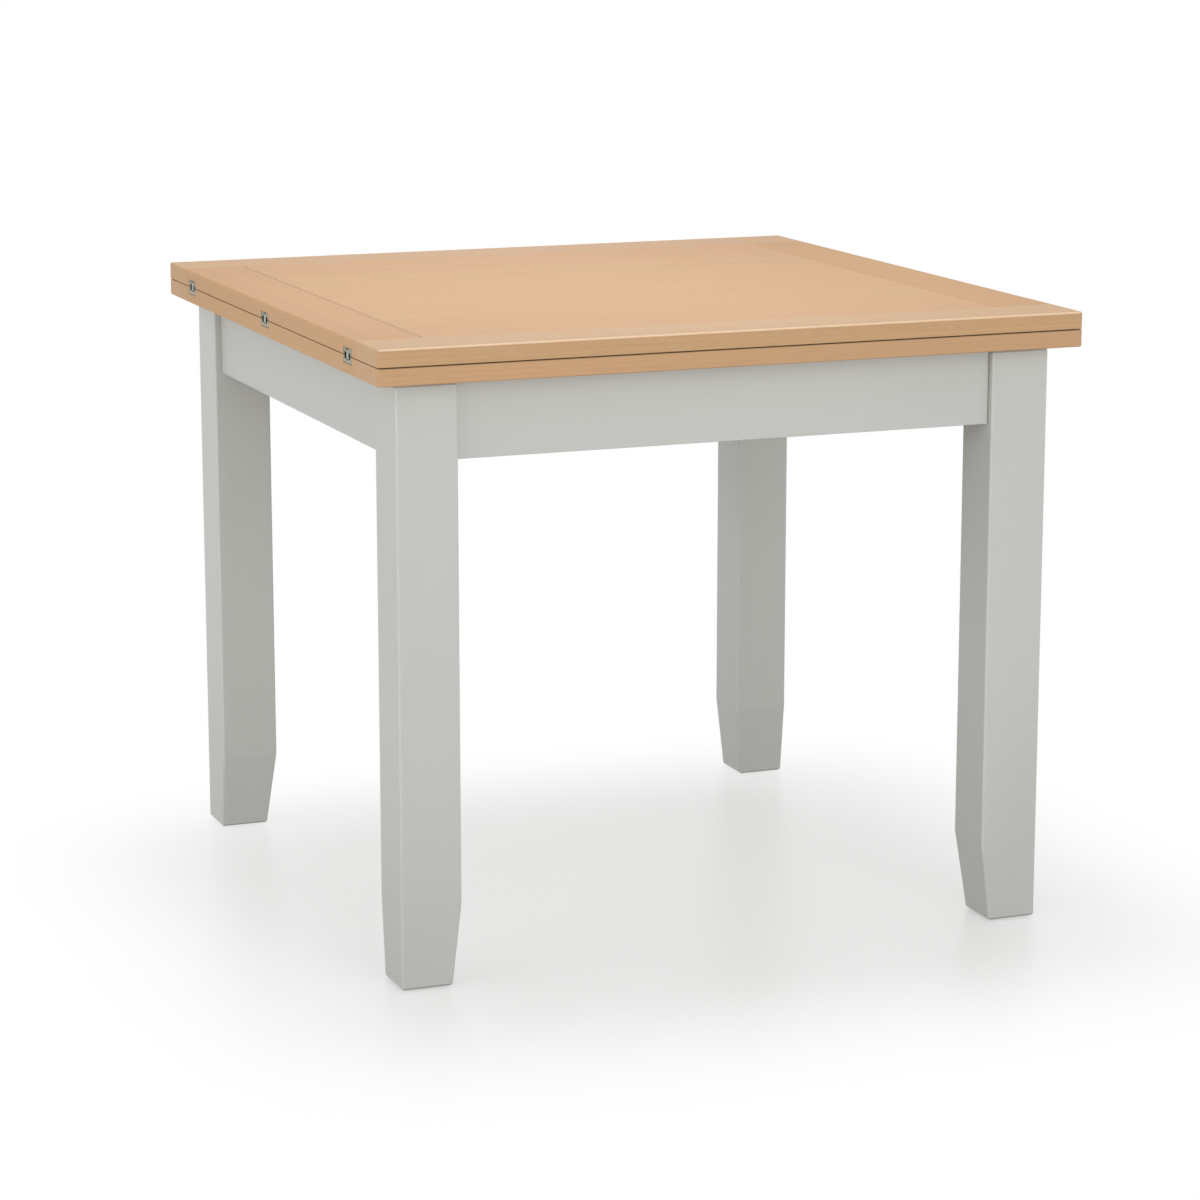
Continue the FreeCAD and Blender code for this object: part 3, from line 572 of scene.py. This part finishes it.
def open_hinge(node, material):
    """Cuts the window that shows a hinge's link between the cheeks of its body."""
    cutter = window_cutter(node)
    body = bmesh.new()
    body.from_mesh(nodes[node].data)
    bmesh.ops.remove_doubles(body, verts=body.verts, dist=SAME_POINT)
    shape = object_from(body, "hinge_body")
    cut = shape.modifiers.new("window", "BOOLEAN")
    cut.operation = "DIFFERENCE"
    cut.solver = "EXACT"
    cut.object = cutter
    made = shape.evaluated_get(bpy.context.evaluated_depsgraph_get())
    bm = bmesh.new()
    bm.from_mesh(made.to_mesh())
    bmesh.ops.remove_doubles(bm, verts=bm.verts, dist=SAME_POINT)
    made.to_mesh_clear()
    for helper in (cutter, shape):
        bpy.data.objects.remove(helper)
    piece_from(bm, "visible_" + node, material, node)


def solids_of(name):
    """The corner points of each separate solid of a CAD node, as lists of vectors."""
    bm = bmesh.new()
    bm.from_mesh(nodes[name].data)
    bmesh.ops.remove_doubles(bm, verts=bm.verts, dist=SAME_POINT)
    left = set(bm.verts)
    found = []
    while left:
        reached = [left.pop()]
        island = []
        while reached:
            vert = reached.pop()
            island.append(vert.co.copy())
            for edge in vert.link_edges:
                other = edge.other_vert(vert)
                if other in left:
                    left.discard(other)
                    reached.append(other)
        found.append(island)
    bm.free()
    found.sort(key=lambda points: tuple(round(value, ORDER_DIGITS) for value in centre_of(points)))
    return found


def centre_of(points):
    """The middle of the box round some points."""
    low = Vector(min(point[axis] for point in points) for axis in range(3))
    high = Vector(max(point[axis] for point in points) for axis in range(3))
    return (low + high) / 2


def off_axis(point, start, direction):
    """How far a point stands from an axis."""
    away = point - start
    return (away - direction * away.dot(direction)).length


def axis_of(points, direction=None):
    """The start, way and length of a turned solid, its start at its wider end."""
    centre = centre_of(points)
    if direction is None:
        spans = [max(p[axis] for p in points) - min(p[axis] for p in points)
                 for axis in range(3)]
        direction = Vector([float(axis == spans.index(max(spans))) for axis in range(3)])
    along = [(point - centre).dot(direction) for point in points]
    low, high = min(along), max(along)

    def width_at(end):
        return max(off_axis(point, centre, direction)
                   for point, value in zip(points, along) if abs(value - end) < END_SLICE)

    if width_at(low) < width_at(high):
        direction, low, high = -direction, -high, -low
    start = centre + direction * low
    return start, direction, high - low


def ring_edges(verts):
    """The edges that join a set of vertices round a loop."""
    chosen = set(verts)
    return [edge for edge in {edge for vert in verts for edge in vert.link_edges}
            if edge.other_vert(edge.verts[0]) in chosen and edge.verts[0] in chosen]


def drawn_out(bm, edges, matrix):
    """Extrudes a loop of edges, transforms the new loop and returns its edges."""
    made = bmesh.ops.extrude_edge_only(bm, edges=edges)["geom"]
    verts = [item for item in made if isinstance(item, bmesh.types.BMVert)]
    bmesh.ops.transform(bm, matrix=matrix, verts=verts)
    return [item for item in made if isinstance(item, bmesh.types.BMEdge)
            and all(vert in verts for vert in item.verts)]


def size_and_drop(size, drop):
    """The matrix that resizes a loop across Z and moves it along Z."""
    return Matrix.Translation((0, 0, drop)) @ Matrix.Diagonal((size, size, 1, 1))


def to_place(start, direction, turn=0.0):
    """The matrix that puts +Z along a direction, from a start point."""
    spin = direction.to_track_quat("Z", "Y").to_matrix().to_4x4()
    return Matrix.Translation(start) @ spin @ Matrix.Rotation(turn, 4, "Z")


def add_screw(bm, head_radius, shank_radius, length, matrix):
    """A countersunk screw along +Z with a tapered cross recess in its head."""
    start = set(bm.verts)
    rim = bmesh.ops.create_circle(bm, segments=SCREW_SIDES, radius=head_radius)["verts"]
    rim_edges = ring_edges(rim)
    arm, slot = RECESS_ARM * head_radius, RECESS_SLOT * head_radius
    inner = slot * RECESS_CORNER
    corners = []
    for quarter in range(4):
        spin = Matrix.Rotation(quarter * math.pi / 2, 3, "Z")
        for point in ((arm, -slot, 0), (arm, slot, 0), (inner, inner, 0)):
            corners.append(bm.verts.new(spin @ Vector(point)))
    cross = [bm.edges.new((corners[i - 1], corners[i])) for i in range(len(corners))]
    bmesh.ops.triangle_fill(bm, use_beauty=True, edges=rim_edges + cross)
    floor = drawn_out(bm, cross, size_and_drop(RECESS_FLOOR, head_radius * RECESS_DEPTH))
    bmesh.ops.triangle_fill(bm, use_beauty=True, edges=floor)
    cone = head_radius - shank_radius
    share = shank_radius / head_radius
    point_length = shank_radius * POINT_LENGTH
    lip = drawn_out(bm, rim_edges, size_and_drop(1.0, head_radius * HEAD_LIP))
    neck = drawn_out(bm, lip, size_and_drop(share, cone))
    end = drawn_out(bm, neck, size_and_drop(1.0, length - cone - point_length))
    tip = drawn_out(bm, end, size_and_drop(POINT_WIDTH, point_length))
    bmesh.ops.triangle_fill(bm, use_beauty=True, edges=tip)
    verts = [vert for vert in bm.verts if vert not in start]
    bmesh.ops.transform(bm, matrix=matrix, verts=verts)


def add_thread(bm, radius, pitch, length, matrix):
    """A threaded rod along +Z, with its crests and roots turned as rings."""
    start = set(bm.verts)
    root = radius - pitch * THREAD_DEPTH
    profile = [(0.0, 0.0), (root * ROD_START, 0.0)]
    for index in range(int(length / pitch)):
        level = index * pitch
        profile.append((root, level + pitch * THREAD_ROOT_END))
        profile += [(radius, level + pitch * share) for share in THREAD_CREST]
    profile += [(root, length), (0.0, length)]
    chain = [bm.verts.new((r, 0, z)) for r, z in profile]
    line = [bm.edges.new(pair) for pair in zip(chain, chain[1:])]
    bmesh.ops.spin(bm, geom=chain + line, axis=(0, 0, 1), cent=(0, 0, 0), steps=THREAD_SIDES,
                   angle=2 * math.pi, use_merge=True)
    verts = [vert for vert in bm.verts if vert not in start]
    bmesh.ops.remove_doubles(bm, verts=verts, dist=SAME_POINT)
    verts = [vert for vert in bm.verts if vert not in start]
    bmesh.ops.transform(bm, matrix=matrix, verts=verts)


def put_screws(node, shank_width, material):
    """Puts cross-recessed screws in the place of a node's plain ones."""
    bm = bmesh.new()
    for number, points in enumerate(solids_of(node)):
        start, direction, length = axis_of(points)
        head = max(off_axis(point, start, direction) for point in points)
        turn = number * RECESS_TURN % (math.pi / 2)
        add_screw(bm, head, head * shank_width, length, to_place(start, direction, turn))
    piece_from(bm, "visible_" + node, material, node)


# --- the sizes and colours that a user would change -------------------------------
class TableFinish(bpy.types.PropertyGroup):
    """Colours of the table's finishes."""

    panel_colour: bpy.props.FloatVectorProperty(
        name="Panels", description="Colour of the lacquered oak panels", subtype="COLOR",
        size=3, default=srgb(200, 156, 112)[:3], min=0.0, max=1.0)
    rail_colour: bpy.props.FloatVectorProperty(
        name="Rails", description="Colour of the oak rails along the panels", subtype="COLOR",
        size=3, default=srgb(199, 160, 121)[:3], min=0.0, max=1.0)
    stile_colour: bpy.props.FloatVectorProperty(
        name="Stiles", description="Colour of the oak stiles at the panels' ends",
        subtype="COLOR", size=3, default=srgb(195, 151, 106)[:3], min=0.0, max=1.0)
    paint_colour: bpy.props.FloatVectorProperty(
        name="Paint", description="Colour of the painted legs and aprons", subtype="COLOR",
        size=3, default=srgb(196, 197, 192)[:3], min=0.0, max=1.0)
    inner_wood_colour: bpy.props.FloatVectorProperty(
        name="Inner wood", description="Colour of the rails, runners and corner blocks",
        subtype="COLOR", size=3, default=srgb(196, 160, 118)[:3], min=0.0, max=1.0)
    hinge_colour: bpy.props.FloatVectorProperty(
        name="Hinges", description="Colour of the plated hinges", subtype="COLOR", size=3,
        default=srgb(168, 166, 152)[:3], min=0.0, max=1.0)
    zinc_colour: bpy.props.FloatVectorProperty(
        name="Zinc", description="Colour of the zinc-plated bolts", subtype="COLOR", size=3,
        default=srgb(190, 192, 190)[:3], min=0.0, max=1.0)
    stave_width: bpy.props.FloatProperty(
        name="Stave width", description="Width of one board across a panel", subtype="DISTANCE",
        default=0.123, min=0.03, max=0.5)


class TableStage(bpy.types.PropertyGroup):
    """Camera, floor and light round the table."""

    camera_place: bpy.props.FloatVectorProperty(
        name="Camera", description="Where the camera stands", subtype="TRANSLATION", size=3,
        unit="LENGTH", default=(-1.715, -4.339, 1.353))
    camera_yaw: bpy.props.FloatProperty(
        name="Yaw", description="Turn of the view from the table's Y axis, to the right",
        subtype="ANGLE", default=math.radians(21.53))
    camera_pitch: bpy.props.FloatProperty(
        name="Pitch", description="Tilt of the view below the horizon", subtype="ANGLE",
        default=math.radians(12.04))
    camera_lens: bpy.props.FloatProperty(
        name="Lens", description="Focal length in millimetres", default=109.6, min=20.0,
        max=300.0, unit="CAMERA")
    floor_size: bpy.props.FloatProperty(
        name="Floor", description="Side of the floor", subtype="DISTANCE", default=24.0,
        min=2.0)


# --- operators ----------------------------------------------------------------------
class TableOperator:
    """What every operator of this table shares."""

    bl_options = {"REGISTER", "UNDO"}

    @property
    def finish(self):
        return bpy.context.scene.table_finish


class TABLE_OT_oak_leaves(TableOperator, bpy.types.Operator):
    """Lacquered oak on the panels, rails and stiles of both leaves"""

    bl_idname = "table.oak_leaves"
    bl_label = "Oak leaves"

    def execute(self, context):
        finish = self.finish
        for number, leaf in enumerate(LEAVES):
            panel = oak(f"oak_panel_{leaf}", "X", finish.panel_colour,
                        grain_place(PANEL_GRAIN, number), leaf, sheen=0.18,
                        stave_width=finish.stave_width)
            rails = oak(f"oak_rails_{leaf}", "X", finish.rail_colour,
                        grain_place(RAIL_GRAIN, number), leaf, sheen=0.2, end_tone=RAIL_END)
            dress([f"{leaf}_leaf_panel"], panel)
            dress([f"{leaf}_leaf_front_rail", f"{leaf}_leaf_back_rail"], rails)
            for stile, red, sheen in (("hinge_stile", 1.0, 0.18), ("end_stile", 1.02, 0.12)):
                board = oak(f"oak_{stile}_{leaf}", "Y", tinted(finish.stile_colour, red, 1.0, 1.0),
                            grain_place(STILE_GRAIN, number), leaf, sheen, end_tone=STILE_EDGE)
                dress([f"{leaf}_leaf_{stile}"], board)
        return {"FINISHED"}


class TABLE_OT_painted_frame(TableOperator, bpy.types.Operator):
    """Satin paint on the legs and aprons"""

    bl_idname = "table.painted_frame"
    bl_label = "Painted frame"

    def execute(self, context):
        colour = self.finish.paint_colour
        # painted light: the back legs get lighter paint against the shade under the table
        lifted_back_colour = shaded(colour, BACK_LEG_LIFT)
        dress(["leg_front_left", "leg_front_right"],
              paint("paint_front_legs", "Z", colour, shading_and_wear=True))
        dress(["leg_back_left", "leg_back_right"],
              paint("paint_back_legs", "Z", lifted_back_colour, shading_and_wear=True))
        dress(["apron_front", "apron_back"], paint("paint_long_aprons", "X", colour))
        dress(["apron_left", "apron_right"], paint("paint_end_aprons", "Y", colour))
        return {"FINISHED"}


class TABLE_OT_inner_frame(TableOperator, bpy.types.Operator):
    """Plain hardwood on the rails, runners, blocks and dowels, with felt and nylon"""

    bl_idname = "table.inner_frame"
    bl_label = "Inner frame"

    def execute(self, context):
        sliding = ["guide_rail_front", "guide_rail_back", "runner_front", "runner_back"]
        for part, names, grain, tone in (
                ("along", sliding, "X", 1.0),
                ("across", ["cross_rail"], "Y", 0.95),
                ("blocks", BLOCK_NODES, "Z", 1.04),
                ("dowels", ["apron_dowels"], "X", 1.1)):
            colour = shaded(self.finish.inner_wood_colour, tone)
            dress(names, plain_wood(f"hardwood_{part}", grain, colour))
        dress(["slide_pads", "leaf_buffers"], felt("grey_felt", FELT_COLOUR))
        dress(["foot_glides"], nylon("black_nylon", NYLON_COLOUR))
        return {"FINISHED"}


class TABLE_OT_hinges(TableOperator, bpy.types.Operator):
    """Nickel plate on the hinge bodies and links, ground steel on their pins"""

    bl_idname = "table.hinges"
    bl_label = "Hinges"

    def execute(self, context):
        colour = self.finish.hinge_colour
        recess = (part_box("hinge_leaf_lower_middle")[0][0], WINDOW_DEPTH * RECESS_SHADE_DEPTH,
                  WINDOW_WIDTH * RECESS_SHADE_HALF_WIDTH)
        # painted shade: the upper bodies are made darker than the lower
        for leaf, tone in HINGE_SHADES:
            plate = metal(f"nickel_bodies_{leaf}", shaded(colour, tone), roughness=0.30,
                          along="Y", recess=recess)
            for row in ROWS:
                open_hinge(f"hinge_leaf_{leaf}_{row}", plate)
        dress(HINGE_LINK_NODES, metal("nickel_links", colour, roughness=0.30, along="Y"))
        pins = metal("ground_steel", shaded(colour, 0.9), roughness=0.22, along="Y")
        dress(["hinge_pins_lower", "hinge_pins_upper"], pins)
        return {"FINISHED"}


class TABLE_OT_screws(TableOperator, bpy.types.Operator):
    """Cross-recessed countersunk screws in the hinges, runners and corner blocks"""

    bl_idname = "table.screws"
    bl_label = "Screws"

    def execute(self, context):
        nickel = metal("nickel_screws", self.finish.hinge_colour, roughness=0.26)
        zinc = metal("zinc_screws", self.finish.zinc_colour, roughness=0.34)
        for leaf in LEAVES:
            put_screws(f"hinge_edge_screws_{leaf}", EDGE_SCREW_SHANK_WIDTH, nickel)
            put_screws(f"hinge_face_screws_{leaf}", SHANK_WIDTH, nickel)
        for node in ("runner_screws", "corner_block_screws"):
            put_screws(node, SHANK_WIDTH, zinc)
        return {"FINISHED"}


class TABLE_OT_bolts(TableOperator, bpy.types.Operator):
    """Threaded hanger bolts with their nuts and washers"""

    bl_idname = "table.bolts"
    bl_label = "Bolts"

    def execute(self, context):
        zinc = metal("zinc_plate", self.finish.zinc_colour, roughness=0.32)
        dress(["bolt_nuts", "bolt_washers"], zinc)
        bm = bmesh.new()
        for points in solids_of("hanger_bolts"):
            centre = centre_of(points)
            outward = Vector((math.copysign(1, centre.x), math.copysign(1, centre.y), 0))
            start, direction, length = axis_of(points, outward.normalized())
            add_thread(bm, BOLT_RADIUS, BOLT_PITCH, length, to_place(start, direction))
        piece_from(bm, "visible_hanger_bolts", zinc, "hanger_bolts",
                   BOLT_SMOOTH_ANGLE)
        return {"FINISHED"}


# --- the stage --------------------------------------------------------------------
# Name, place, width, height and power of each lamp, and whether shiny surfaces mirror it
LAMPS = (
    ("overhead", (-0.05, -0.07, 1.95), 0.8, 0.4, 9.2, True),
    ("left_fill", (-3.4, -0.6, 1.2), 3.2, 1.0, 28.5, False),
    ("front_fill", (0.2, -3.0, 1.35), 2.2, 2.0, 12.0, False),
    ("low_fill", (0.0, -3.2, 0.62), 2.6, 0.5, 18.0, False),
    ("back_fill", (2.7, 3.0, 1.2), 3.0, 1.4, 31.0, False),
)
LAMP_AIM = (0, 0, 0.5)              # every lamp faces this point
HORIZON, ZENITH = 1.12, 0.28        # strength of the surround where it lights the table

FLOOR_TONES = (srgb(240, 240, 239), srgb(243, 243, 242))
FLOOR_BOUNCE = shaded((0.9, 0.9, 0.9), 0.44)        # its colour where it lights the table
FLOOR_WHITE = 0.44            # share of plain white in the floor under the table
WHITE_SPAN = (0.34, 0.80)     # from the middle, where that share rises to the whole
WHITE_SHIFT = (0.0, 0.16, 0.0)      # moves that middle towards the front


class TABLE_OT_stage(TableOperator, bpy.types.Operator):
    """Pale floor, white surround, soft light and the camera"""

    bl_idname = "table.stage"
    bl_label = "Stage"

    def execute(self, context):
        scene = context.scene
        settings = scene.table_stage
        self.add_floor(settings.floor_size)
        self.set_world(scene)
        for lamp in LAMPS:
            self.add_lamp(*lamp)
        self.add_camera(scene, settings)
        scene.view_settings.view_transform = "Standard"
        return {"FINISHED"}

    def add_camera(self, scene, settings):
        """The scene's camera, with its lens, its place and its aim."""
        camera = bpy.data.cameras.new("camera")
        camera.sensor_width = 36.0
        camera.lens = settings.camera_lens
        camera.clip_end = 60.0
        stand = bpy.data.objects.new("camera", camera)
        stand.location = settings.camera_place
        stand.rotation_euler = (math.pi / 2 - settings.camera_pitch, 0, -settings.camera_yaw)
        scene.collection.objects.link(stand)
        scene.camera = stand

    @staticmethod
    def seen_ray(graph):
        """1 where a surface is seen, directly or mirrored, and 0 where it only lights others."""
        path = graph.node("ShaderNodeLightPath").outputs
        seen = graph.calc("MAXIMUM", path["Is Camera Ray"], path["Is Glossy Ray"])
        return graph.calc("MAXIMUM", seen, path["Is Transmission Ray"])

    def add_floor(self, side):
        """A floor that takes the table's shadow and turns plain white round it."""
        bm = bmesh.new()
        bmesh.ops.create_grid(bm, x_segments=1, y_segments=1, size=side / 2)
        floor = object_from(bm, "floor")
        material, graph = new_material("pale_floor")
        place = graph.place(shift=WHITE_SHIFT)
        axes = graph.node("ShaderNodeSeparateXYZ", {0: place}).outputs
        square = graph.calc("ADD", graph.calc("POWER", graph.calc("ABSOLUTE", axes[0]), 4.0),
                            graph.calc("POWER", graph.calc("ABSOLUTE", axes[1]), 4.0))
        reach = graph.calc("POWER", square, 0.25)
        far = graph.fit(reach, *WHITE_SPAN, FLOOR_WHITE, 1.0, smooth=True)
        grain = graph.noise(place, (30.0, 30.0, 30.0), detail=3.0)
        tone = graph.mix(grain, *FLOOR_TONES)
        seen = self.seen_ray(graph)
        tone = graph.mix(seen, FLOOR_BOUNCE, tone)
        shader = graph.node("ShaderNodeBsdfPrincipled", {"Base Color": tone, "Roughness": 0.32})
        glow = graph.node("ShaderNodeEmission", {"Color": (1, 1, 1, 1), "Strength": 1.0})
        share = graph.calc("MULTIPLY", far, seen)
        surface = graph.node("ShaderNodeMixShader", {0: share, 1: shader.outputs[0],
                                                     2: glow.outputs[0]})
        graph.node("ShaderNodeOutputMaterial", {"Surface": surface.outputs[0]})
        floor.data.materials.append(material)

    def set_world(self, scene):
        """A surround that is plain white where it is seen and lights from its horizon."""
        world = bpy.data.worlds.new("white_surround")
        world.use_nodes = True
        graph = Graph(world.node_tree)
        coords = graph.node("ShaderNodeTexCoord").outputs["Generated"]
        height = graph.node("ShaderNodeSeparateXYZ", {0: coords}).outputs[2]
        glow = graph.fit(height, 0.0, 1.0, HORIZON, ZENITH)
        strength = graph.fit(self.seen_ray(graph), 0.0, 1.0, glow, 1.0)
        light = graph.node("ShaderNodeBackground", {"Color": (1, 1, 1, 1), "Strength": strength})
        graph.node("ShaderNodeOutputWorld", {"Surface": light.outputs[0]})
        scene.world = world

    def add_lamp(self, name, place, width, height, power, mirrored):
        """A rectangular lamp that faces the table."""
        lamp = bpy.data.lights.new(name, "AREA")
        lamp.shape = "RECTANGLE"
        lamp.size = width
        lamp.size_y = height
        lamp.energy = power
        stand = bpy.data.objects.new(name, lamp)
        stand.location = place
        aim = Vector(LAMP_AIM) - Vector(place)
        stand.rotation_euler = aim.to_track_quat("-Z", "Y").to_euler()
        stand.visible_glossy = mirrored
        bpy.context.scene.collection.objects.link(stand)


class TABLE_PT_panel(bpy.types.Panel):
    """The table's steps and settings in the sidebar"""

    bl_idname = "TABLE_PT_panel"
    bl_label = "Flip-top table"
    bl_space_type = "VIEW_3D"
    bl_region_type = "UI"
    bl_category = "Table"

    def draw(self, context):
        layout = self.layout
        for settings in (context.scene.table_finish, context.scene.table_stage):
            for key in settings.bl_rna.properties.keys():
                if key not in ("rna_type", "name"):
                    layout.prop(settings, key)
        for operator in OPERATORS:
            layout.operator(operator.bl_idname)


OPERATORS = (
    TABLE_OT_oak_leaves,
    TABLE_OT_painted_frame,
    TABLE_OT_inner_frame,
    TABLE_OT_hinges,
    TABLE_OT_screws,
    TABLE_OT_bolts,
    TABLE_OT_stage,
)
CLASSES = (TableFinish, TableStage) + OPERATORS + (TABLE_PT_panel,)


def register():
    for cls in CLASSES:
        bpy.utils.register_class(cls)
    bpy.types.Scene.table_finish = bpy.props.PointerProperty(type=TableFinish)
    bpy.types.Scene.table_stage = bpy.props.PointerProperty(type=TableStage)


def unregister():
    del bpy.types.Scene.table_stage
    del bpy.types.Scene.table_finish
    for cls in reversed(CLASSES):
        bpy.utils.unregister_class(cls)


def main():
    register()
    bpy.ops.table.oak_leaves()
    bpy.ops.table.painted_frame()
    bpy.ops.table.inner_frame()
    bpy.ops.table.hinges()
    bpy.ops.table.screws()
    bpy.ops.table.bolts()
    bpy.ops.table.stage()


if __name__ == "__main__":
    main()
